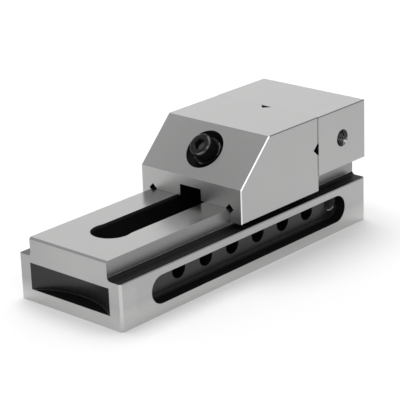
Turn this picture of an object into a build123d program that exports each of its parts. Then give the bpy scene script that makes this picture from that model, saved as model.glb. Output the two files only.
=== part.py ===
from build123d import *
import os
from math import atan2, cos, degrees, hypot, radians, sin, sqrt

# A toolmaker's pull-down vise in millimetres. X runs from the free end (-X) to the fixed jaw
# (+X), Y across the width, Z up. The origin is the middle of the ground underside.
# "From the free end" is a distance measured along X from the front face of the base.

# Base block and rail
base_length = 198.0
base_width = 73.0
shoulder_height = 25.4
rail_width = 55.2
rail_height = 35.8
rail_foot_radius = 2.0
corner_chamfer = 1.2
rail_end_chamfer = 1.0
edge_break = 0.5
top_edge_break = 0.3

# Fixed jaw, one piece with the base
jaw_height = 71.2
fixed_jaw_length = 41.4
overhang_height = 37.7

# Clamping pocket in the free end, cut by a disc cutter
pocket_floor = 6.9
pocket_height = 14.8
pocket_depth = 9.5
pocket_cutter_radius = 47.0

# Long clamping slots in both sides
side_slot_floor = 5.9
side_slot_height = 15.5
side_slot_front_land = 21.9
side_slot_back_land = 18.7
side_slot_depth = 7.3
side_slot_corner = 1.8

# Row of cross holes through the webs, and the pin that fits them
pin_diameter = 10.0
pin_length = 44.0
pin_row_height = 16.1
pin_row_pitch = 20.9
pin_row_count = 7
pin_row_count_behind = 1
pin_from_fixed_jaw = 2.5
pin_end_chamfer = 0.8

# Slot along the rail top and the wider channel under its lips
rail_slot_width = 20.6
rail_slot_start = 20.7
rail_slot_nose_radius = 11.0
rail_slot_back_land = 2.0
lip_thickness = 1.9
channel_relief = 1.2
back_wall = 12.0

# Tapped holes for a work stop in both sides of the fixed jaw (M8)
stop_tap_drill = 6.8
stop_countersink = 9.8
stop_hole_depth = 20.0
stop_hole_height = 54.0
stop_hole_from_back = 20.4

# Movable jaw
jaw_length = 64.5
jaw_width = 72.0
skirt_height = 28.4
skirt_chamfer = 0.8
slant_angle = 45.0
slant_foot_height = 47.6
corner_relief_side = 4.0
groove_width = 7.2
groove_depth = 3.9
groove_height = 52.9
jaw_slot_width = 15.0
jaw_slot_ceiling = 42.4
jaw_slot_wall = 1.8

# Spherical seat in the slanted face, its washer and the way through for the screw
dish_radius = 11.5
dish_sphere_radius = 12.3
dish_up_slant = 17.7
washer_diameter = 16.0
washer_rim = 2.3
washer_bore = 9.4
shank_way_width = 9.2

# Clamp screw, M8 with a hexagon socket head
screw_diameter = 8.0
screw_length = 55.0
screw_head_diameter = 13.3
screw_head_height = 8.0
screw_hex = 6.0
screw_hex_depth = 4.5
screw_head_edge = 0.5
screw_end_chamfer = 1.0

# Draw block: tapped neck, eye for the cross pin and a tail that holds the friction ball
block_neck_width = 14.0
block_neck_depth = 13.0
block_neck_top = 28.0
block_top_cut_width = 1.8
block_top_cut_height = 4.0
block_eye_radius = 9.5
block_tail_depth = 10.0
block_edge = 0.4

# Friction ball, its spring and its set screw (M4), pressing on the cross pin
ball_diameter = 3.0
ball_spring_wire = 0.4
ball_spring_diameter = 2.8
ball_spring_length = 2.4
ball_spring_turns = 3
set_screw_diameter = 4.0
set_screw_length = 4.0
set_screw_hex = 2.0
set_screw_hex_depth = 1.8
set_screw_recess = 0.2

# How far the jaw opens with the pin in one pair of holes
opening_range = 16.5

# Clearances
slide_clearance = 0.05
closed_gap = 0.05
pin_clearance = 0.02
thread_clearance = 0.04
seat_clearance = 0.05
dish_clearance = 0.2
eye_clearance = 0.3
way_clearance = 1.2

# Places worked out from the sizes
free_end = -base_length / 2
back_end = base_length / 2
fixed_face = back_end - fixed_jaw_length
clamp_face = fixed_face - closed_gap
jaw_front = clamp_face - jaw_length
slant_run = (jaw_height - slant_foot_height) / sin(radians(slant_angle)) * cos(radians(slant_angle))
jaw_top_front = jaw_front + slant_run
pin_x = fixed_face - pin_from_fixed_jaw
web_face = base_width / 2 - side_slot_depth

# Centre of the spherical seat: out from the middle of the dish, square to the slant
seat_rise = sqrt(dish_sphere_radius ** 2 - dish_radius ** 2)
dish_x = jaw_front + dish_up_slant * cos(radians(slant_angle))
dish_z = slant_foot_height + dish_up_slant * sin(radians(slant_angle))
seat_x = dish_x - seat_rise * sin(radians(slant_angle))
seat_z = dish_z + seat_rise * cos(radians(slant_angle))

# The screw's axis runs from the cross pin through the seat centre
screw_reach = hypot(pin_x - seat_x, seat_z - pin_row_height)
screw_tilt = degrees(atan2(seat_z - pin_row_height, pin_x - seat_x))
open_tilt = degrees(atan2(seat_z - pin_row_height, pin_x - seat_x + opening_range))

# On the next pair of holes the jaw must reach as far as the opening left over by this pair
nearer_range = max(pin_row_pitch - opening_range, 0)
near_tilt = degrees(atan2(seat_z - pin_row_height, pin_x - seat_x - nearer_range))

# The washer's flat top and the underside of the screw's head
washer_radius = dish_sphere_radius - dish_clearance
washer_top = sqrt(washer_radius ** 2 - (washer_diameter / 2) ** 2) - washer_rim
head_seat = screw_reach - washer_top + 2 * seat_clearance

# The slot for the draw block's neck stops short of the upright groove
jaw_slot_back = clamp_face - groove_depth - jaw_slot_wall

# Distances of the ball, its spring and its set screw from the cross pin's axis
ball_reach = pin_diameter / 2 + ball_diameter / 2
ball_spring_radius = (ball_diameter + ball_spring_wire) / 2 + seat_clearance
ball_spring_seat = sqrt(ball_spring_radius ** 2 - ((ball_spring_diameter - ball_spring_wire) / 2) ** 2)
ball_spring_start = ball_reach + ball_spring_seat - ball_spring_wire / 2
set_screw_start = ball_spring_start + ball_spring_length + seat_clearance
block_tail_end = set_screw_start + set_screw_length + set_screw_recess

LOW = (Align.CENTER, Align.CENTER, Align.MIN)
HIGH = (Align.CENTER, Align.CENTER, Align.MAX)


def along_screw(shape, height=0.0):
    """Stand a shape built on +Z on the screw's axis, at a height above the cross pin."""
    tilt = radians(screw_tilt)
    frame = Plane(
        origin=(pin_x, 0, pin_row_height),
        x_dir=(sin(tilt), 0, cos(tilt)),
        z_dir=(-cos(tilt), 0, sin(tilt)),
    )
    return frame.location * Pos(0, 0, height) * shape


def prism_across(points, width):
    """Extrude an outline given in X and Z across the width, centred on Y = 0."""
    outline = Plane.XZ * make_face(Polyline(*points, close=True))
    return extrude(outline, amount=width / 2, both=True)


def coil(diameter, wire, length, turns):
    """A round-wire coil spring on +Z from z = 0, its end turns resting on flat planes."""
    mean_radius = (diameter - wire) / 2
    rise = length - wire
    path = Helix(pitch=rise / turns, height=rise, radius=mean_radius)
    start = Plane(origin=path @ 0, z_dir=path % 0)
    return Pos(0, 0, wire / 2) * sweep(start * Circle(wire / 2), path=path, is_frenet=True)


def lengthwise_slot(start, end, width):
    """Round-ended slot outline along X between two X places, as a face on Z = 0."""
    return Pos((start + end) / 2, 0) * SlotOverall(end - start, width)


def base_block():
    """Base, rail, neck and fixed jaw as one plain block, with its edges broken."""
    base = Box(base_length, base_width, shoulder_height, align=LOW)
    rail = Box(base_length, rail_width, rail_height, align=LOW)
    under_jaw = Pos(back_end - fixed_jaw_length / 2, 0)
    neck = under_jaw * Box(fixed_jaw_length, rail_width, overhang_height, align=LOW)
    jaw = Box(fixed_jaw_length, base_width, jaw_height - overhang_height, align=LOW)
    block = base + rail + neck + under_jaw * Pos(0, 0, overhang_height) * jaw
    shoulder_edges = block.edges().filter_by(Axis.X).filter_by(
        lambda e: abs(e.center().Z - shoulder_height) < 0.01
    )
    foot = shoulder_edges.filter_by(lambda e: abs(abs(e.center().Y) - rail_width / 2) < 0.01)
    block = fillet(foot, rail_foot_radius)
    corners = block.edges().filter_by(Axis.Z).filter_by(
        lambda e: abs(abs(e.center().Y) - base_width / 2) < 0.01 and e.center().Z < shoulder_height
    )
    block = chamfer(corners, corner_chamfer)
    rail_end = block.edges().filter_by(Axis.Y).filter_by(
        lambda e: e.center().X < free_end + 0.01 and abs(e.center().Z - rail_height) < 0.01
    )
    block = chamfer(rail_end, rail_end_chamfer)
    jaw_edges = block.edges().filter_by(
        lambda e: e.center().Z > overhang_height + 0.01 and e.center().X > fixed_face + 0.01
    )
    block = chamfer(jaw_edges, top_edge_break)
    shoulder_edges = block.edges().filter_by(Axis.X).filter_by(
        lambda e: abs(e.center().Z - shoulder_height) < 0.01
    )
    outer = shoulder_edges.filter_by(lambda e: abs(abs(e.center().Y) - base_width / 2) < 0.01)
    return chamfer(outer, edge_break)


def end_pocket():
    """Space cut into the free end: a slice of a disc, deepest in the middle."""
    centre = free_end + pocket_depth - pocket_cutter_radius
    return Pos(centre, 0, pocket_floor) * Cylinder(pocket_cutter_radius, pocket_height, align=LOW)


def side_slot(side):
    """Round-ended slot in one side (side is -1 or 1), with a radius round its floor."""
    length = base_length - side_slot_front_land - side_slot_back_land
    middle = free_end + side_slot_front_land + length / 2
    height = side_slot_floor + side_slot_height / 2
    slot = extrude(SlotOverall(length, side_slot_height), side_slot_depth + 1)
    slot = fillet(slot.faces().sort_by(Axis.Z)[0].edges(), side_slot_corner)
    facing = Plane(origin=(middle, side * web_face, height), x_dir=(1, 0, 0), z_dir=(0, side, 0))
    return facing.location * slot


def cross_holes():
    """The row of reamed holes through both webs and the radius round each side slot's floor."""
    length = 2 * (web_face + side_slot_corner)
    holes = []
    for number in range(pin_row_count):
        x = pin_x + (pin_row_count_behind - number) * pin_row_pitch
        bore = Rot(90, 0, 0) * Cylinder(pin_diameter / 2, length)
        holes.append(Pos(x, 0, pin_row_height) * bore)
    return holes


def rail_slot():
    """Slot through the rail top with a larger nose, over a wider channel open below."""
    nose = free_end + rail_slot_start + rail_slot_nose_radius
    slot_back = fixed_face - rail_slot_back_land
    lips = lengthwise_slot(nose - rail_slot_width / 2, slot_back, rail_slot_width)
    slot = extrude(lips, rail_height + 1)
    slot += Pos(nose, 0) * Cylinder(rail_slot_nose_radius, rail_height + 1, align=LOW)
    channel_width = rail_slot_width + 2 * channel_relief
    channel_face = lengthwise_slot(nose - channel_width / 2, back_end - back_wall, channel_width)
    channel = extrude(channel_face, rail_height - lip_thickness)
    return slot + channel


def stop_hole(side):
    """Blind tapped hole in one side of the fixed jaw, with its countersink."""
    mouth = (stop_countersink - stop_tap_drill) / 2
    hole = Cylinder(stop_tap_drill / 2, stop_hole_depth, align=LOW)
    sink = Cone(stop_tap_drill / 2, stop_countersink / 2, mouth, align=LOW)
    sink = Pos(0, 0, stop_hole_depth - mouth) * sink
    x = back_end - stop_hole_from_back
    y = side * (base_width / 2 - stop_hole_depth)
    facing = Plane(origin=(x, y, stop_hole_height), x_dir=(1, 0, 0), z_dir=(0, side, 0))
    return facing.location * (hole + sink)


def base_body():
    """The one-piece base with its rail and fixed jaw, and everything cut into it."""
    body = base_block()
    body -= end_pocket()
    body -= rail_slot()
    for side in (-1, 1):
        body -= side_slot(side)
        body -= stop_hole(side)
    for hole in cross_holes():
        body -= hole
    return body


def jaw_block():
    """Movable jaw as a plain block with the slanted front, its edges broken."""
    outline = [
        (jaw_front, skirt_height),
        (jaw_front, slant_foot_height),
        (jaw_top_front, jaw_height),
        (clamp_face, jaw_height),
        (clamp_face, skirt_height),
    ]
    block = prism_across(outline, jaw_width)
    sides = block.edges().filter_by(
        lambda e: abs(abs(e.center().Y) - jaw_width / 2) < 0.01 and e.center().X < clamp_face - 0.01
    )
    front = sides.filter_by(lambda e: e.center().X < jaw_top_front)
    front_and_under = front + sides.filter_by(lambda e: e.center().Z < skirt_height + 0.01)
    block = chamfer(front_and_under, edge_break)
    top = block.edges().filter_by(Axis.X).filter_by(lambda e: e.center().Z > jaw_height - 0.01)
    return chamfer(top, top_edge_break)


def rail_tunnel():
    """Space for the rail under the movable jaw, flared at the skirts, with corner reliefs."""
    half = rail_width / 2 + slide_clearance
    top = rail_height + slide_clearance
    flare = skirt_height + skirt_chamfer
    outline = [
        (-half - skirt_chamfer, skirt_height),
        (-half, flare),
        (-half, top),
        (half, top),
        (half, flare),
        (half + skirt_chamfer, skirt_height),
    ]
    face = Plane.YZ * make_face(Polyline(*outline, close=True))
    length = jaw_length + 2
    start = Pos(jaw_front - 1, 0, 0)
    tunnel = start * extrude(face, length)
    for side in (-1, 1):
        relief = Rot(45, 0, 0) * Box(length, corner_relief_side, corner_relief_side)
        tunnel += Pos(jaw_front - 1 + length / 2, side * rail_width / 2, rail_height) * relief
    return tunnel


def v_grooves():
    """Two crossing V grooves in the clamping face, for round work."""
    half = groove_width / 2
    level = prism_across(
        [
            (clamp_face + 0.01, groove_height - half),
            (clamp_face - groove_depth, groove_height),
            (clamp_face + 0.01, groove_height + half),
        ],
        jaw_width + 2,
    )
    mouth = clamp_face + 0.01
    vee = make_face(Polyline((mouth, -half), (clamp_face - groove_depth, 0), (mouth, half), close=True))
    upright = Pos(0, 0, skirt_height) * extrude(vee, jaw_height)
    return level + upright


def swing_place(tilt_degrees, reach, aside):
    """X and Z of a point at a reach from the seat centre and beside the screw's axis."""
    tilt = radians(tilt_degrees)
    x = seat_x + reach * cos(tilt) + aside * sin(tilt)
    z = seat_z - reach * sin(tilt) + aside * cos(tilt)
    return (x, z)


def dish():
    """Ball that leaves the spherical seat in the slanted face."""
    slant = radians(slant_angle)
    frame = Plane(origin=(seat_x, 0, seat_z), x_dir=(-sin(slant), 0, cos(slant)), z_dir=(0, 1, 0))
    return frame.location * Sphere(dish_sphere_radius)


def shank_way():
    """Way from the dish into the slot of the neck, as wide as the screw needs to swing."""
    half = screw_diameter / 2 + way_clearance
    end = (seat_z + half - jaw_slot_ceiling) / sin(radians(open_tilt))
    outline = [
        swing_place(near_tilt, seat_rise, -half),
        swing_place(near_tilt, end, -half),
        swing_place(open_tilt, end, half),
        swing_place(open_tilt, seat_rise, half),
    ]
    return prism_across(outline, shank_way_width)


def jaw_slot():
    """Slot along the underside, open at the front, where the draw block's neck moves."""
    length = jaw_slot_back - jaw_front
    height = jaw_slot_ceiling - skirt_height
    slot = Box(length + 2, jaw_slot_width, height, align=(Align.MAX, Align.CENTER, Align.MIN))
    return Pos(jaw_slot_back, 0, skirt_height) * slot


def movable_jaw():
    """The sliding jaw: it rides the rail between its skirts."""
    jaw = jaw_block()
    jaw -= rail_tunnel()
    jaw -= v_grooves()
    jaw -= jaw_slot()
    jaw -= shank_way()
    jaw -= dish()
    return jaw


def spherical_washer():
    """Washer with a ball-shaped underside that turns in the dish."""
    ball = Sphere(washer_radius)
    rim = Cylinder(washer_diameter / 2, dish_sphere_radius, align=HIGH)
    above = Cylinder(dish_sphere_radius + 1, washer_top, align=HIGH)
    washer = (rim & ball) - above
    washer -= Cylinder(washer_bore / 2, 3 * dish_sphere_radius)
    return along_screw(washer, screw_reach)


def clamp_screw():
    """Socket head cap screw: head on the washer, thread in the draw block."""
    head = Cylinder(screw_head_diameter / 2, screw_head_height, align=LOW)
    head = fillet(head.edges().sort_by(Axis.Z)[-1], screw_head_edge)
    hexagon = RegularPolygon(screw_hex / 2, 6, major_radius=False)
    head -= Pos(0, 0, screw_head_height - screw_hex_depth) * extrude(hexagon, screw_hex_depth + 1)
    shank = Pos(0, 0, -screw_length) * Cylinder(screw_diameter / 2, screw_length, align=LOW)
    shank = chamfer(shank.edges().sort_by(Axis.Z)[0], screw_end_chamfer)
    return along_screw(head + shank, head_seat)


def draw_block():
    """Nut on the cross pin: the screw pulls on it, and it swings with the screw."""
    half = block_neck_depth / 2
    outline = [
        (-half, 0),
        (-half, block_neck_top),
        (half - block_top_cut_width, block_neck_top),
        (half, block_neck_top - block_top_cut_height),
        (half, 0),
    ]
    neck = prism_across(outline, block_neck_width)
    eye = Rot(90, 0, 0) * Cylinder(block_eye_radius, rail_slot_width - 2 * eye_clearance)
    tail = Box(block_tail_depth, block_neck_width, block_tail_end, align=HIGH)
    block = neck + eye + tail
    ends = block.faces().sort_by(Axis.Z)
    block = chamfer(ends[0].edges() + ends[-1].edges(), block_edge)
    block -= Rot(90, 0, 0) * Cylinder(pin_diameter / 2, rail_slot_width)
    block -= Cylinder(screw_diameter / 2 + thread_clearance, block_neck_top + 1, align=LOW)
    block -= Cylinder(ball_diameter / 2 + seat_clearance, block_tail_end, align=HIGH)
    tapped = Cylinder(set_screw_diameter / 2 + thread_clearance, block_tail_end, align=HIGH)
    block -= Pos(0, 0, -set_screw_start) * tapped
    return along_screw(block)


def cross_pin():
    """Hardened pin across the channel, in one pair of web holes."""
    pin = Rot(90, 0, 0) * Cylinder(pin_diameter / 2 - pin_clearance, pin_length)
    pin = chamfer(pin.edges().filter_by(GeomType.CIRCLE), pin_end_chamfer)
    return Pos(pin_x, 0, pin_row_height) * pin


def friction_ball():
    """Ball in the draw block's tail that keeps the pin from sliding out by itself."""
    return along_screw(Sphere(ball_diameter / 2), -ball_reach)


def ball_spring():
    """Small spring that presses the friction ball on the pin."""
    spring = coil(ball_spring_diameter, ball_spring_wire, ball_spring_length, ball_spring_turns)
    return along_screw(spring, -ball_spring_start - ball_spring_length)


def set_screw():
    """Socket set screw that closes the tail and loads the ball spring."""
    screw = Cylinder(set_screw_diameter / 2, set_screw_length, align=HIGH)
    hexagon = RegularPolygon(set_screw_hex / 2, 6, major_radius=False)
    screw -= Pos(0, 0, -set_screw_length) * extrude(hexagon, set_screw_hex_depth)
    return along_screw(screw, -set_screw_start)


parts = {
    "base_body": base_body(),
    "movable_jaw": movable_jaw(),
    "spherical_washer": spherical_washer(),
    "clamp_screw": clamp_screw(),
    "draw_block": draw_block(),
    "cross_pin": cross_pin(),
    "friction_ball": friction_ball(),
    "ball_spring": ball_spring(),
    "set_screw": set_screw(),
}

os.makedirs("parts", exist_ok=True)
for node, shape in parts.items():
    export_step(shape, f"parts/{node}.step")
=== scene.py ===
from math import cos, pi, radians, sin

import bpy
from mathutils import Matrix, Vector


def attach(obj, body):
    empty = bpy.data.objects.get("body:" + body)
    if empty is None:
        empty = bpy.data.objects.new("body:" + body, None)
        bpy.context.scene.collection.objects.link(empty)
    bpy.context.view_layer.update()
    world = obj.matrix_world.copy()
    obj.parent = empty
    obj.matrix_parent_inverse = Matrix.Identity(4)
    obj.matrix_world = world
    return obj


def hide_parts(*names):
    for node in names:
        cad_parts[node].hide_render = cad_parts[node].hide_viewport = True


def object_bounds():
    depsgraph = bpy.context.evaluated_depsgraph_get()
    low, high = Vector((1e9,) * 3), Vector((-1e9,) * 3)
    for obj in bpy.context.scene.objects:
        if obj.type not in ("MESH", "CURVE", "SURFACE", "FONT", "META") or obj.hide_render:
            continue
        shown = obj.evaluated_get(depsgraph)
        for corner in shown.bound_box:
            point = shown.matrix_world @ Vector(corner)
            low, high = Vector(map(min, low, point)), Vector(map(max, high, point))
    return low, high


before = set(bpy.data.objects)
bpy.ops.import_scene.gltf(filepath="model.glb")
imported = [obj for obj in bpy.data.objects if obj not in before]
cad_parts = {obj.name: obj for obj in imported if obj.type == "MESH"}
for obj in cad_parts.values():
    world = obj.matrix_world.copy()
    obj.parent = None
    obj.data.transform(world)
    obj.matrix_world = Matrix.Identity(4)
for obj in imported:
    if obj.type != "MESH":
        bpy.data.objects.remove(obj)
cad_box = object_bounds()
bpy.ops.object.select_all(action="DESELECT")

# BASE, RAIL AND FIXED JAW
# One block of hardened tool steel. Its outer faces, the rail and the jaw are surface ground;
# the shoulders, slots, pocket, channel and cross holes keep the black of the hardening.


class Wire:
    """A value in a material: sums written on it become the material's own maths."""

    def __init__(self, tree, socket):
        self.tree = tree
        self.socket = socket

    def join(self, operation, first, second=None, third=None, clamp=False):
        node = self.tree.nodes.new("ShaderNodeMath")
        node.operation = operation
        node.use_clamp = clamp
        for slot, value in enumerate((first, second, third)):
            if isinstance(value, Wire):
                self.tree.links.new(value.socket, node.inputs[slot])
            elif value is not None:
                node.inputs[slot].default_value = value
        return Wire(self.tree, node.outputs[0])

    def __add__(self, other):
        return self.join("ADD", self, other)

    def __radd__(self, other):
        return self.join("ADD", other, self)

    def __sub__(self, other):
        return self.join("SUBTRACT", self, other)

    def __rsub__(self, other):
        return self.join("SUBTRACT", other, self)

    def __mul__(self, other):
        return self.join("MULTIPLY", self, other)

    def __rmul__(self, other):
        return self.join("MULTIPLY", other, self)

    def __pow__(self, other):
        return self.join("POWER", self, other)

    def __abs__(self):
        return self.join("ABSOLUTE", self)

    def __gt__(self, other):
        return self.join("GREATER_THAN", self, other)

    def __lt__(self, other):
        return self.join("LESS_THAN", self, other)

    def __and__(self, other):
        return self.join("MULTIPLY", self, other)

    def __or__(self, other):
        return self.join("MAXIMUM", self, other)

    def rise(self, start, end):
        """0 below start, 1 above end, straight between them."""
        return self.join("MULTIPLY_ADD", self, 1 / (end - start), -start / (end - start), clamp=True)

    def wave(self):
        return self.join("SINE", self)


class Finish:
    """A material with one main shader, built from nodes."""

    def __init__(self, name):
        self.material = bpy.data.materials.new(name)
        self.material.use_nodes = True
        self.tree = self.material.node_tree
        self.tree.nodes.clear()
        self.shader = self.tree.nodes.new("ShaderNodeBsdfPrincipled")
        out = self.tree.nodes.new("ShaderNodeOutputMaterial")
        self.tree.links.new(self.shader.outputs[0], out.inputs[0])

    def node(self, kind, settings=None, inputs=None, output=0):
        """Any node: its settings first, then what goes into its sockets."""
        made = self.tree.nodes.new(kind)
        for key, value in (settings or {}).items():
            setattr(made, key, value)
        for key, value in (inputs or {}).items():
            if isinstance(value, Wire):
                self.tree.links.new(value.socket, made.inputs[key])
            else:
                made.inputs[key].default_value = value
        return Wire(self.tree, made.outputs[output])

    def point(self):
        """The shaded point, in the object's own axes."""
        return self.node("ShaderNodeTexCoord", output="Object")

    def axes(self):
        """X, Y and Z of the shaded point, in metres."""
        spot = self.point()
        return [self.node("ShaderNodeSeparateXYZ", inputs={0: spot}, output=n) for n in range(3)]

    def grain(self, scale, detail, stretch=(1, 1, 1)):
        """Noise from 0 to 1; stretch tells how quickly it changes along each axis."""
        spot = self.node("ShaderNodeMapping", inputs={"Vector": self.point(), "Scale": stretch})
        inputs = {"Vector": spot, "Scale": scale, "Detail": detail}
        return self.node("ShaderNodeTexNoise", {"noise_dimensions": "3D"}, inputs)

    def blend(self, factor, first, second):
        """Two colours mixed by a factor."""
        inputs = {0: factor, 6: first, 7: second}
        return self.node("ShaderNodeMix", {"data_type": "RGBA"}, inputs, output=2)

    def grey(self, value):
        """A grey colour from one value."""
        return self.node("ShaderNodeCombineColor", inputs={0: value, 1: value, 2: value})

    def tint(self, value, colour):
        """A colour made lighter or darker by one value."""
        settings = {"data_type": "RGBA", "blend_type": "MULTIPLY"}
        return self.node("ShaderNodeMix", settings, {0: 1.0, 6: self.grey(value), 7: colour}, output=2)

    def bump(self, height, distance, over=None):
        """A surface raised by height times distance, on top of another where over is given."""
        inputs = {"Height": height, "Distance": distance}
        if over is not None:
            inputs["Normal"] = over
        return self.node("ShaderNodeBump", inputs=inputs)

    def feed(self, **values):
        """Values or links for the main shader, by socket name with _ for a space."""
        for key, value in values.items():
            socket = self.shader.inputs[key.replace("_", " ")]
            if isinstance(value, Wire):
                self.tree.links.new(value.socket, socket)
            else:
                socket.default_value = value


def dress(node, finish):
    """Give a node of the frame its finish."""
    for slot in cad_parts[node].material_slots:
        slot.material = finish.material


def within(value, low, high):
    """1 where a value lies between two bounds, 0 elsewhere."""
    return (value > low) & (value < high)


def ground(finish, lengthwise):
    """Height of the fine scratches that a grinding wheel leaves along one axis."""
    stretch = {"x": (0.02, 1, 1), "y": (1, 0.02, 1)}[lengthwise]
    lines = finish.grain(2600, 2, stretch)
    broad = finish.grain(420, 2, stretch)
    return lines * 0.6 + broad * 0.4


def hardened(finish, black, scratches, painted_light, dull, bright_marks, dark_marks):
    """Ground steel that keeps the black of the hardening where black is 1.

    The fourth argument paints light and shade on the ground faces as a lighter or darker tone, and
    dull makes them rougher.
    The marks are pairs of a place and its colour, painted one after the other over the ground faces or
    over the black; most of them are painted highlights and reflections.
    """
    patches = finish.grain(28, 3)
    scale_grain = finish.grain(900, 4)
    scale_patches = finish.grain(60, 4)
    bright = finish.tint(0.94 + patches * 0.08 + scratches * 0.05 + painted_light, ground_colour)
    for place, colour in bright_marks:
        bright = finish.blend(place, bright, colour)
    dark = finish.tint(0.6 + scale_patches * 0.9, scale_colour)
    for place, colour in dark_marks:
        dark = finish.blend(place, dark, colour)
    surface = finish.bump(scratches * (1 - black), 0.000012)
    surface = finish.bump((scale_grain * 0.6 + scale_patches * 0.4) * black, 0.00006, over=surface)
    finish.feed(
        Base_Color=finish.blend(black, bright, dark),
        Metallic=1 - black,
        Roughness=0.18 + scratches * 0.08 + dull + black * (0.25 + scale_grain * 0.12),
        Specular_IOR_Level=0.2,
        Normal=surface,
    )


half_length, half_width, jaw_top = cad_box[1]
hair = 0.00005
end_margin = 0.0002
just_inside = half_width - hair
inner_side = 0.0352
shoulder_top = 0.0254
shoulder_side = (0.02763, 0.03602)
shoulder_z = (shoulder_top - hair, 0.0274)
rail_side = 0.0276
rail_foot = 0.0273
rail_top = 0.0358
undercut_side = 0.0277
undercut_roof = 0.0377
undercut_z = (undercut_roof - 2 * hair, undercut_roof + hair)
fixed_face = 0.0576
strip_side = 0.03595
edge_reach = 0.0006
corner_reach = 0.00125
side_slot_x = 0.0016
side_slot_reach = 0.0788
side_slot_z = (0.0058, 0.0215)
channel_x = (-0.0802, 0.0874)
channel_side = 0.0118
lip_side = 0.0115
lip_foot = 0.0339
web_side = 0.0292
last_hole_x = 0.076
last_hole_radius = 0.00506
last_hole_side = (0.018, web_side - hair)
pin_z = 0.0161
pin_radius = 0.005
hole_highlight_radius = 0.0055
hole_highlight_side = (0.0290, 0.0294)
hole_highlight_start = 0.002
pocket_x = (-0.0989, -0.088)
pocket_z = (0.0068, 0.0218)
cutter_x = -0.1365
cutter_radius = 0.047
pocket_edge_highlight_x = (-0.0986, -0.088)
pocket_edge_highlight_top = 0.00695
pocket_edge_highlight_width = 0.0005
tap_x = 0.0786
tap_z = 0.054
tap_radius = 0.00345
tap_bottom = 0.015
sink_radius = 0.0052
sink_bottom = 0.03

ground_colour = (0.4, 0.4, 0.397, 1)
corner_highlight_colour = (0.54, 0.54, 0.537, 1)
sink_colour = (0.05, 0.05, 0.05, 1)
lower_sink_colour = (0.25, 0.25, 0.25, 1)
scale_colour = (0.004, 0.004, 0.0042, 1)
lit_lip_colour = (0.02, 0.02, 0.0203, 1)
pocket_edge_highlight_colour = (0.12, 0.12, 0.12, 1)
hole_highlight_colour = (0.6, 0.6, 0.6, 1)

# Each place below is 1 on its faces and 0 elsewhere. Its bounds stand a hair off the real faces.
steel = Finish("base_steel")
x, y, z = steel.axes()
side = abs(y)
between_ends = abs(x) < half_length - hair
fixed_jaw = x > fixed_face + 0.0001
block_inside = (side < inner_side) & between_ends & within(z, hair, shoulder_top - hair)
side_slots = (abs(x - side_slot_x) < side_slot_reach) & (side < just_inside) & within(z, *side_slot_z)
shoulders = within(side, *shoulder_side) & within(z, *shoulder_z) & between_ends
channel = (side < channel_side) & within(x, *channel_x) & within(z, hair, rail_top - hair)
overhang = within(side, undercut_side, just_inside) & within(z, *undercut_z) & fixed_jaw
from_tap = (x - tap_x) ** 2.0 + (z - tap_z) ** 2.0
stop_hole = (from_tap < tap_radius ** 2) & within(side, tap_bottom, just_inside)
black = block_inside | side_slots | shoulders | channel | overhang | stop_hole

ends = abs(x) > half_length - end_margin
scratch_long = ground(steel, "x")
scratch_cross = ground(steel, "y")
scratches = scratch_long + (scratch_cross - scratch_long) * ends

# Painted light: the outer faces are painted lighter towards the bottom, to cancel the floor shadow
# they mirror there.
painted_foot_light = z.rise(0.012, 0.002)
# Painted shade: the face at the free end is painted darker towards the far side.
far_front = y.rise(-0.01, 0.03) & (x < end_margin - half_length)
# Painted shade: the chamfer along the top edges of the fixed jaw is painted darker.
top_edge = ((half_width - side) + (jaw_top - z) < edge_reach) & fixed_jaw
# Painted highlight: a thin strip at the side edge of the fixed jaw's face, at the joint, is painted
# lighter.
joint_strip_highlight = (x < fixed_face + 0.00003) & (side > strip_side) & (z > undercut_roof + 0.0001)
# Painted shade: the sides of the rail are painted darker; they are also made rougher.
rail_sides = (abs(side - rail_side) < hair) & (z > rail_foot)
# Sum of the painted light and shade on the ground faces of the base.
painted_light = painted_foot_light * 0.5 + joint_strip_highlight * 0.6 - far_front * 0.12 - top_edge * 0.42 - rail_sides * 0.32

# Painted highlight: the upright corner edges of the base are painted bright.
upright_edges = (half_length - abs(x)) + (half_width - side) < corner_reach
upright_edges = upright_edges & (z < shoulder_top + 0.0002)
countersink = (from_tap < sink_radius ** 2) & within(side, sink_bottom, just_inside)
# The countersink is lighter on its lower side towards +X.
lower_sink_side = countersink & ((x - tap_x) - (z - tap_z) > sink_radius)
bright_marks = (
    (upright_edges, corner_highlight_colour),
    (countersink, sink_colour),
    (lower_sink_side, lower_sink_colour),
)

# Painted light: the narrow top of the channel's walls is painted lighter than the black below it, as a
# lit band.
lips = (side < lip_side) & (z > lip_foot)
from_cutter = ((x - cutter_x) ** 2.0 + y ** 2.0) ** 0.5
pocket_wall = (from_cutter > cutter_radius - hair) & within(x, *pocket_x) & within(z, *pocket_z)
# Painted highlight: a thin lighter line along the bottom edge of the pocket's curved wall.
pocket_edge_highlight = (from_cutter > cutter_radius - pocket_edge_highlight_width) & within(x, *pocket_edge_highlight_x)
pocket_edge_highlight = pocket_edge_highlight & (z < pocket_edge_highlight_top)
# Painted reflection: the wall of the last cross hole is painted a lighter grey. Painted highlight: a
# bright crescent on the hole's rim, on its lower side towards +X.
from_last_hole = (x - last_hole_x) ** 2.0 + (z - pin_z) ** 2.0
last_hole = (from_last_hole < last_hole_radius ** 2) & within(side, *last_hole_side)
hole_rim_highlight = within(from_last_hole, pin_radius ** 2, hole_highlight_radius ** 2)
hole_rim_highlight = hole_rim_highlight & within(side, *hole_highlight_side)
hole_rim_highlight = hole_rim_highlight & ((x - last_hole_x) - (z - pin_z) > hole_highlight_start)
dark_marks = (
    (lips, lit_lip_colour),
    (pocket_edge_highlight, pocket_edge_highlight_colour),
    (last_hole * 0.2 | hole_rim_highlight, hole_highlight_colour),
)

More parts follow.
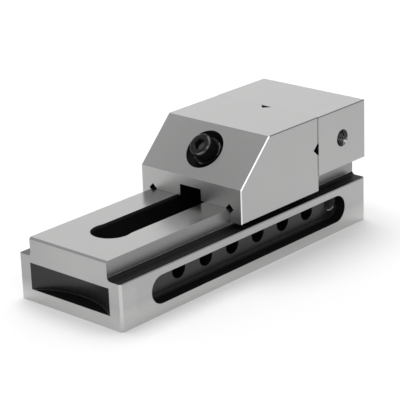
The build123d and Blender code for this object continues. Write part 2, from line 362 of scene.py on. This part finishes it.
hardened(steel, black, scratches, painted_light, rail_sides * 0.14, bright_marks, dark_marks)
web_face = abs(side - web_side) < hair
oily = web_face | pocket_wall | (shoulders & (y > 0))
steel.feed(Coat_Weight=oily * 0.8, Coat_Roughness=0.28)
dress("base_body", steel)

# MOVABLE JAW
# Hardened tool steel ground on every outer face. The dish for the washer, the slot under it
# and the corner reliefs were cut before hardening and stay black.

jaw_front = -0.00695
jaw_side = 0.036
jaw_slot_side = 0.00755
jaw_slot_roof = 0.0425
relief_reach = 0.00286
relief_x = (-0.00692, 0.05752)
slant_foot = 0.0476
bevel_reach = 0.00054
seat_x = 0.00248
seat_z = 0.0632
seat_radius = 0.01233
shank_way_side = 0.00462
shank_way_back = 0.0525
shank_way_roof = 0.0705

slant_edge_highlight_colour = (0.46, 0.46, 0.457, 1)
front_edge_highlight_colour = (0.8, 0.8, 0.795, 1)

steel = Finish("jaw_steel")
x, y, z = steel.axes()
side = abs(y)
slot_inside = (side < jaw_slot_side) & (z < jaw_slot_roof) & (x > jaw_front + hair)
from_rail_edge = abs(side - rail_side) + abs(z - rail_top)
reliefs = (from_rail_edge < relief_reach) & within(x, *relief_x)
depth = ((x - jaw_front) - (z - slant_foot)) * (2 ** -0.5)
from_seat = (x - seat_x) ** 2.0 + y ** 2.0 + (z - seat_z) ** 2.0
seat = (depth > 0.00004) & (from_seat < seat_radius ** 2)
shank_way = (side < shank_way_side) & within(x, jaw_front + hair, shank_way_back)
shank_way = shank_way & (depth > 0.002) & (z < shank_way_roof)
black = slot_inside | reliefs | seat | shank_way

# Painted light: the jaw's front face is painted lighter and its slant lighter towards the far side;
# painted shade: the chamfer of its top edges is painted darker.
front_face = (x < jaw_front + 0.00003) & (z < slant_foot + 0.0001)
top_edge = (jaw_side - side) + (jaw_top - z) < edge_reach
far_slant = y.rise(0.0, 0.035) & (depth < 0.00002) & (z > slant_foot + 0.0001)
painted_light = front_face * 0.12 + far_slant * 0.1 - top_edge * 0.42

# Painted highlight: the chamfers along the side edges of the slant and of the front are painted
# bright.
slant_edge = (depth + (jaw_side - side) < bevel_reach) & (z > slant_foot - 0.0006)
front_edge = ((x - jaw_front) + (jaw_side - side) < bevel_reach) & (z < slant_foot + 0.0004)
bright_marks = ((slant_edge, slant_edge_highlight_colour), (front_edge, front_edge_highlight_colour))
hardened(steel, black, ground(steel, "x"), painted_light, front_face * 0.2, bright_marks, ())
dress("movable_jaw", steel)

# SPHERICAL WASHER
# Turned from steel bar and blackened. Its round underside lies in the jaw's dish and its flat top
# carries the screw's head, so the screw can swing as the jaw opens.

oxide_colour = (0.018, 0.018, 0.019, 1)
worn_and_highlight_colour = (0.3, 0.295, 0.29, 1)
washer_radius = 0.008
rim_mark_radius = 0.0074
turning_pitch = 0.0003
pin_x = 0.0551
screw_tilt = radians(41.8326)


def about_screw(finish):
    """Distance up the screw's axis from the cross pin, and distance out from that axis."""
    x, y, z = finish.axes()
    up = (pin_x - x) * cos(screw_tilt) + (z - pin_z) * sin(screw_tilt)
    across = (x - pin_x) * sin(screw_tilt) + (z - pin_z) * cos(screw_tilt)
    return up, (across * across + y * y) ** 0.5


def blackened(finish, wear_and_highlights, bumps):
    """Black oxide on steel, made lighter by the second argument: rubbed on some parts, painted
    highlights on others; bumps is the surface so far.
    """
    mottle = finish.grain(220, 4)
    fine = finish.grain(2400, 2)
    colour = finish.tint(0.7 + mottle * 0.7, oxide_colour)
    colour = finish.blend(wear_and_highlights, colour, worn_and_highlight_colour)
    finish.feed(
        Base_Color=colour,
        Metallic=0.75,
        Specular_IOR_Level=0.2,
        Roughness=0.34 + fine * 0.16 - wear_and_highlights * 0.05,
        Normal=finish.bump(fine * 0.5 + mottle * 0.5, 0.00002, over=bumps),
    )


washer = Finish("washer_steel")
up, out = about_screw(washer)
turning = (out * (2 * pi / turning_pitch)).wave() * 0.5 + 0.5
# The rim is lighter in random spots: partly rubbed, partly painted glints.
rim_wear_and_glints = out.rise(rim_mark_radius, washer_radius) * washer.grain(190, 2).rise(0.5, 0.56)
blackened(washer, rim_wear_and_glints, washer.bump(turning, 0.00001))
dress("spherical_washer", washer)

# CLAMP SCREW
# M8 by 55 socket head cap screw in black oxide: cold headed, its side knurled, its socket pressed
# in and its last 28 mm rolled to a thread. It is drawn upright, then laid along its axis.

head_seat = 0.063943
head_radius = 0.00665
head_height = 0.008
head_crown = 0.0008
crown_share = 0.9
head_foot = 0.0003
foot_share = 0.96
knurl_ridges = 48
knurl_depth = 0.0003
knurl_steps = ((1, 0.5), (2, 1.0), (3, 0.5))
corners_round = knurl_ridges * 4
socket_corner = 0.003464
socket_depth = 0.0045
socket_point = 0.0009
point_share = 0.05
lead_in = 0.0009
lead_in_radii = (0.00295, 0.0041)
shank_radius = 0.00397
plain_length = 0.027
runout = 0.0006
screw_length = 0.0543
screw_tip = 0.0007
tip_share = 0.8
core_radius = 0.0033
screw_ridge_radii = (core_radius - 0.0001, 0.00396)
screw_ridge_root = 0.00103
screw_ridge_crest = 0.00016
screw_turns = 22
thread_pitch = 0.00125
thread_steps = 32
thread_end = 0.0541
overshoot = 0.001
sliver = 0.000002
knurl_rub_radius = 0.00652
knurl_rub_height = (head_seat + 0.0004, head_seat + 0.0071)
crown_highlight_radius = 0.0056
crown_highlight_height = (head_seat + 0.0070, head_seat + 0.0078)
socket_highlight_radius = 0.0034
socket_highlight_height = (head_seat + 0.002, head_seat + 0.0042)


def top(face):
    """Whether a face looks up."""
    return face.normal.z > 0.9


def underside(face):
    """Whether a face looks down."""
    return face.normal.z < -0.9


def fix_place():
    """Write the selected piece's place, turn and size into its mesh."""
    bpy.ops.object.transform_apply(location=True, rotation=True, scale=True)


def pick(piece, kind, test):
    """Open a piece in edit mode with only the vertices or faces selected that pass a test."""
    bpy.ops.object.mode_set(mode="EDIT")
    bpy.ops.mesh.select_mode(type=kind)
    bpy.ops.mesh.select_all(action="DESELECT")
    bpy.ops.object.mode_set(mode="OBJECT")
    for element in piece.data.vertices if kind == "VERT" else piece.data.polygons:
        element.select = test(element)
    bpy.ops.object.mode_set(mode="EDIT")


def pull(piece, test, distance, share):
    """Extrude the faces that pass a test along Z and bring the new end to a share of its width."""
    pick(piece, "FACE", test)
    bpy.ops.mesh.extrude_region_move(TRANSFORM_OT_translate={"value": (0, 0, distance)})
    bpy.ops.transform.resize(value=(share, share, 1), center_override=(0, 0, 0))
    bpy.ops.object.mode_set(mode="OBJECT")


def cut(piece, cutter):
    """Take the cutter's space out of a piece, close the slivers left and delete the cutter."""
    tool = piece.modifiers.new("cut", "BOOLEAN")
    tool.operation = "DIFFERENCE"
    tool.solver = "EXACT"
    tool.object = cutter
    bpy.ops.object.select_all(action="DESELECT")
    bpy.context.view_layer.objects.active = piece
    bpy.ops.object.modifier_apply(modifier="cut")
    bpy.data.objects.remove(cutter)
    pick(piece, "VERT", lambda vertex: True)
    bpy.ops.mesh.remove_doubles(threshold=sliver)
    bpy.ops.object.mode_set(mode="OBJECT")


def thread_ridge(start, inner, outer, root, crest, turns):
    """A helical ridge that climbs from start round the Z axis.

    Its section has the width root on one side and crest on the other, which is the outer side
    where crest is positive and the inner side where it is negative.
    """
    bpy.ops.mesh.primitive_plane_add(size=1, location=(0, 0, 0))
    ridge = bpy.context.object
    bpy.ops.object.mode_set(mode="EDIT")
    bpy.ops.transform.resize(value=(outer - inner, root, 1), center_override=(0, 0, 0))
    bpy.ops.transform.rotate(value=pi / 2, orient_axis="X", center_override=(0, 0, 0))
    bpy.ops.transform.translate(value=((inner + outer) / 2, 0, start))
    bpy.ops.mesh.delete(type="ONLY_FACE")
    narrow = outer if crest > 0 else inner
    pick(ridge, "VERT", lambda vertex: abs(vertex.co.x - narrow) < hair)
    bpy.ops.transform.resize(value=(1, 1, abs(crest) / root), center_override=(narrow, 0, start))
    bpy.ops.object.mode_set(mode="OBJECT")
    sweep = ridge.modifiers.new("sweep", "SCREW")
    sweep.axis = "Z"
    sweep.screw_offset = thread_pitch
    sweep.iterations = turns
    sweep.steps = thread_steps
    sweep.render_steps = thread_steps
    bpy.ops.object.modifier_apply(modifier="sweep")
    bpy.ops.object.mode_set(mode="EDIT")
    bpy.ops.mesh.select_mode(type="EDGE")
    bpy.ops.mesh.select_all(action="DESELECT")
    bpy.ops.mesh.select_non_manifold()
    bpy.ops.mesh.fill_holes(sides=8)
    bpy.ops.mesh.select_all(action="SELECT")
    bpy.ops.mesh.normals_make_consistent(inside=False)
    bpy.ops.object.mode_set(mode="OBJECT")
    return ridge


def corner_number(vertex):
    """Which corner of the head's outline a vertex is, counted round the Z axis."""
    return round(vertex.co.to_2d().angle_signed((0, 1)) / (2 * pi) * corners_round)


bpy.ops.object.select_all(action="DESELECT")
side_height = head_height - head_crown - head_foot
side_middle = head_foot + side_height / 2
bpy.ops.mesh.primitive_cylinder_add(
    vertices=corners_round, radius=head_radius, depth=side_height, location=(0, 0, side_middle)
)
head = bpy.context.object
fix_place()
for step, share in knurl_steps:
    pick(head, "VERT", lambda vertex: corner_number(vertex) % 4 == step)
    narrower = 1 - knurl_depth * share / head_radius
    bpy.ops.transform.resize(value=(narrower, narrower, 1), center_override=(0, 0, 0))
bpy.ops.object.mode_set(mode="OBJECT")
pull(head, top, head_crown, crown_share)
pull(head, underside, -head_foot, foot_share)

socket_middle = head_height - socket_depth / 2 + overshoot / 2
bpy.ops.mesh.primitive_cylinder_add(
    vertices=6, radius=socket_corner, depth=socket_depth + overshoot, location=(0, 0, socket_middle)
)
hexagon = bpy.context.object
fix_place()
pull(hexagon, underside, -socket_point, point_share)
cut(head, hexagon)
bpy.ops.mesh.primitive_cone_add(
    vertices=48,
    radius1=lead_in_radii[0],
    radius2=lead_in_radii[1],
    depth=lead_in,
    location=(0, 0, head_height),
)
cut(head, bpy.context.object)

bpy.ops.mesh.primitive_cylinder_add(
    vertices=64, radius=shank_radius, depth=plain_length, location=(0, 0, -plain_length / 2)
)
shank = bpy.context.object
fix_place()
pull(shank, underside, -runout, core_radius / shank_radius)
pull(shank, underside, plain_length + runout - screw_length, 1)
pull(shank, underside, -screw_tip, tip_share)
ridge = thread_ridge(-thread_end, *screw_ridge_radii, screw_ridge_root, screw_ridge_crest, screw_turns)

for part in (ridge, shank, head):
    part.select_set(True)
bpy.context.view_layer.objects.active = head
bpy.ops.object.join()
head.name = "cap_screw"
head.rotation_euler = (0, screw_tilt - pi / 2, 0)
head.location = (pin_x - cos(screw_tilt) * head_seat, 0, pin_z + sin(screw_tilt) * head_seat)
fix_place()
bpy.ops.object.shade_smooth_by_angle(angle=radians(32))

screw = Finish("screw_steel_rubbed_and_highlit")
up, out = about_screw(screw)
# The knurl's crests are rubbed lighter. Painted highlights: a lighter band with glints on the crown of
# the head, and a lighter bottom of the socket.
crests = out.rise(knurl_rub_radius, head_radius) & within(up, *knurl_rub_height)
crown = up.rise(*crown_highlight_height) & (out > crown_highlight_radius)
socket_highlight = within(up, *socket_highlight_height) & (out < socket_highlight_radius)
glints = screw.grain(320, 2).rise(0.52, 0.58)
blackened(screw, crests * 0.12 | crown * (0.12 + glints * 0.6) | socket_highlight, None)
head.data.materials.clear()
head.data.materials.append(screw.material)
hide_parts("clamp_screw")
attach(head, "screw")

# STOP THREADS
# The M8 threads that a tap cut in the two side holes of the fixed jaw. They ran through the black
# to clean steel, so their flanks shine.

tap_start = 0.0172
tap_ridge_radii = (0.00308, 0.00343)
tap_ridge_root = 0.00108
tap_ridge_crest = 0.0002
tap_turns = 14
tapped_colour = (0.12, 0.12, 0.12, 1)

near_thread = thread_ridge(0, *tap_ridge_radii, tap_ridge_root, -tap_ridge_crest, tap_turns)
near_thread.name = "stop_thread_near"
near_thread.rotation_euler = (pi / 2, 0, 0)
near_thread.location = (tap_x, -tap_start, tap_z)
fix_place()
bpy.ops.object.shade_smooth_by_angle(angle=radians(32))

tapped = Finish("stop_thread_steel")
smears = tapped.grain(700, 3)
tapped.feed(
    Base_Color=tapped.tint(0.7 + smears * 0.5, tapped_colour),
    Metallic=1.0,
    Roughness=0.2 + smears * 0.12,
    Normal=tapped.bump(smears, 0.00001),
)
near_thread.data.materials.append(tapped.material)
bpy.ops.object.select_all(action="DESELECT")
near_thread.select_set(True)
bpy.context.view_layer.objects.active = near_thread
bpy.ops.object.duplicate(linked=False)
far_thread = bpy.context.object
far_thread.name = "stop_thread_far"
bpy.ops.object.mode_set(mode="EDIT")
bpy.ops.mesh.select_all(action="SELECT")
bpy.ops.transform.rotate(value=pi, orient_axis="Z", center_override=(tap_x, 0, tap_z))
bpy.ops.object.mode_set(mode="OBJECT")
for piece in (near_thread, far_thread):
    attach(piece, "base")

# DRAW BLOCK
# Milled from alloy steel, tapped for the screw and bored for the cross pin, then blackened. Its neck
# runs in the jaw's slot and its eye in the channel under the rail.

block = Finish("block_steel")
milling = block.grain(900, 2, (1, 0.05, 1))
edge_rub = block.grain(160, 3).rise(0.6, 0.8) * 0.3
blackened(block, edge_rub, block.bump(milling, 0.00002))
dress("draw_block", block)

# CROSS PIN
# Hardened dowel steel, ground round and left bright, with chamfered ends. It is pushed by hand
# through both webs and the draw block's eye.

pin_colour = (0.5, 0.5, 0.5, 1)

pin = Finish("pin_steel")
rings = pin.grain(1800, 2, (0.05, 1, 0.05))
smears = pin.grain(90, 3)
pin.feed(
    Base_Color=pin.tint(0.85 + smears * 0.2, pin_colour),
    Metallic=1.0,
    Roughness=0.22 + rings * 0.12,
    Normal=pin.bump(rings, 0.00001),
)
dress("cross_pin", pin)

# FRICTION BALL
# A polished bearing ball with a trace of grease on it, pressed against the cross pin by its spring.
# It is drawn here because the CAD ball's mesh has stray slivers.

ball_radius = 0.0015
ball_drop = pin_radius + ball_radius
ball_colour = (0.7, 0.7, 0.7, 1)

bpy.ops.object.select_all(action="DESELECT")
bpy.ops.mesh.primitive_cube_add(size=ball_radius * 2, location=(0, 0, 0))
bearing = bpy.context.object
bearing.name = "bearing_ball"
bpy.ops.object.mode_set(mode="EDIT")
bpy.ops.mesh.subdivide(number_cuts=15)
bpy.ops.object.mode_set(mode="OBJECT")
rounding = bearing.modifiers.new("rounding", "CAST")
rounding.factor = 1
rounding.use_radius_as_size = False
rounding.size = ball_radius
bpy.ops.object.modifier_apply(modifier="rounding")
bearing.location = (pin_x + cos(screw_tilt) * ball_drop, 0, pin_z - sin(screw_tilt) * ball_drop)
fix_place()
bpy.ops.object.shade_smooth()

ball = Finish("ball_steel")
film = ball.grain(500, 3)
ball.feed(
    Base_Color=ball.tint(0.9 + film * 0.15, ball_colour),
    Metallic=1.0,
    Roughness=0.1 + film * 0.1,
)
bearing.data.materials.append(ball.material)
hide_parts("friction_ball")
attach(bearing, "draw")

# BALL SPRING
# Coiled from plain spring wire that keeps faint marks of drawing along it. It stands between the
# ball and the set screw.

wire_colour = (0.45, 0.45, 0.46, 1)

wire = Finish("spring_steel")
marks = wire.grain(1500, 2)
wire.feed(
    Base_Color=wire.tint(0.85 + marks * 0.3, wire_colour),
    Metallic=1.0,
    Roughness=0.3 + marks * 0.15,
)
dress("ball_spring", wire)

# SET SCREW
# Small M4 socket set screw in black oxide like the clamp screw. It closes the hole in the block's
# tail and loads the spring.

set_screw_pitch = 0.0007
set_screw_core = 0.0019

plug = Finish("set_screw_steel")
up, out = about_screw(plug)
thread = (up * (2 * pi / set_screw_pitch)).wave() * 0.5 + 0.5
flank = out > set_screw_core
blackened(plug, flank * thread * 0.3, plug.bump(thread * flank, 0.0002))
dress("set_screw", plug)

# FLOOR
# A large sheet of matt white card with a faint tooth. The object stands on it and nothing else is
# in the picture.

card_size = 8
card_colour = (0.9, 0.9, 0.9, 1)

bpy.ops.mesh.primitive_plane_add(size=card_size, location=(0, 0, 0))
floor = bpy.context.object
floor.name = "floor"
card = Finish("white_card")
tooth = card.grain(300, 2)
card.feed(Base_Color=card.tint(0.985 + tooth * 0.02, card_colour), Roughness=0.9)
floor.data.materials.append(card.material)

# LIGHT
# A white room with three soft lights: a square one above and a little behind, a broad weak one low
# behind, and a small one in front on the near side for the edges.

room_colour = (1, 1, 1, 1)
room_strength = 0.62

scene = bpy.context.scene
room = bpy.data.worlds.new("studio")
room.use_nodes = True
room.node_tree.nodes["Background"].inputs["Color"].default_value = room_colour
room.node_tree.nodes["Background"].inputs["Strength"].default_value = room_strength
scene.world = room


def soft_light(name, place, aim, size, watts):
    """A rectangular light at a place, turned towards what it is aimed at."""
    lamp = bpy.data.lights.new(name, "AREA")
    lamp.shape = "RECTANGLE"
    lamp.size, lamp.size_y = size
    lamp.energy = watts
    holder = bpy.data.objects.new(name, lamp)
    holder.location = place
    holder.rotation_euler = (Vector(aim) - Vector(place)).to_track_quat("-Z", "Y").to_euler()
    scene.collection.objects.link(holder)


soft_light("soft_top", place=(0.09, 0.26, 1.2), aim=(0, 0, 0), size=(0.9, 0.9), watts=9.2)
soft_light("soft_back", place=(1.1, 1.02, 0.55), aim=(0, 0, 0.04), size=(1.8, 0.8), watts=2.3)
soft_light("soft_edge", place=(-0.5, -1.31, 1.12), aim=(0, 0, 0.04), size=(0.5, 0.5), watts=2.4)

# CAMERA
# Worked out from the photograph's own edges. The long lens looks down at 20 degrees from the free
# end's left, and is tilted by 2 degrees.

eye = Vector((-0.6480, -0.5982, 0.3541))
heading = radians(42.696)
drop = radians(20.024)
roll = radians(-2.164)
picture_width = 400
focal_pixels = 1742.18
sensor_width = 36

forward = Vector((cos(drop) * cos(heading), cos(drop) * sin(heading), -sin(drop)))
level_right = forward.cross(Vector((0, 0, 1))).normalized()
level_up = level_right.cross(forward)
right = level_right * cos(roll) + level_up * sin(roll)
upward = level_up * cos(roll) - level_right * sin(roll)
lens = bpy.data.cameras.new("camera")
lens.sensor_width = sensor_width
lens.lens = sensor_width * focal_pixels / picture_width
lens.clip_start = 0.05
lens.clip_end = 30
camera = bpy.data.objects.new("camera", lens)
turn = Matrix((right, upward, -forward)).transposed()
camera.matrix_world = Matrix.Translation(eye) @ turn.to_4x4()
scene.collection.objects.link(camera)
scene.camera = camera
scene.view_settings.view_transform = "Standard"
scene.view_settings.look = "None"
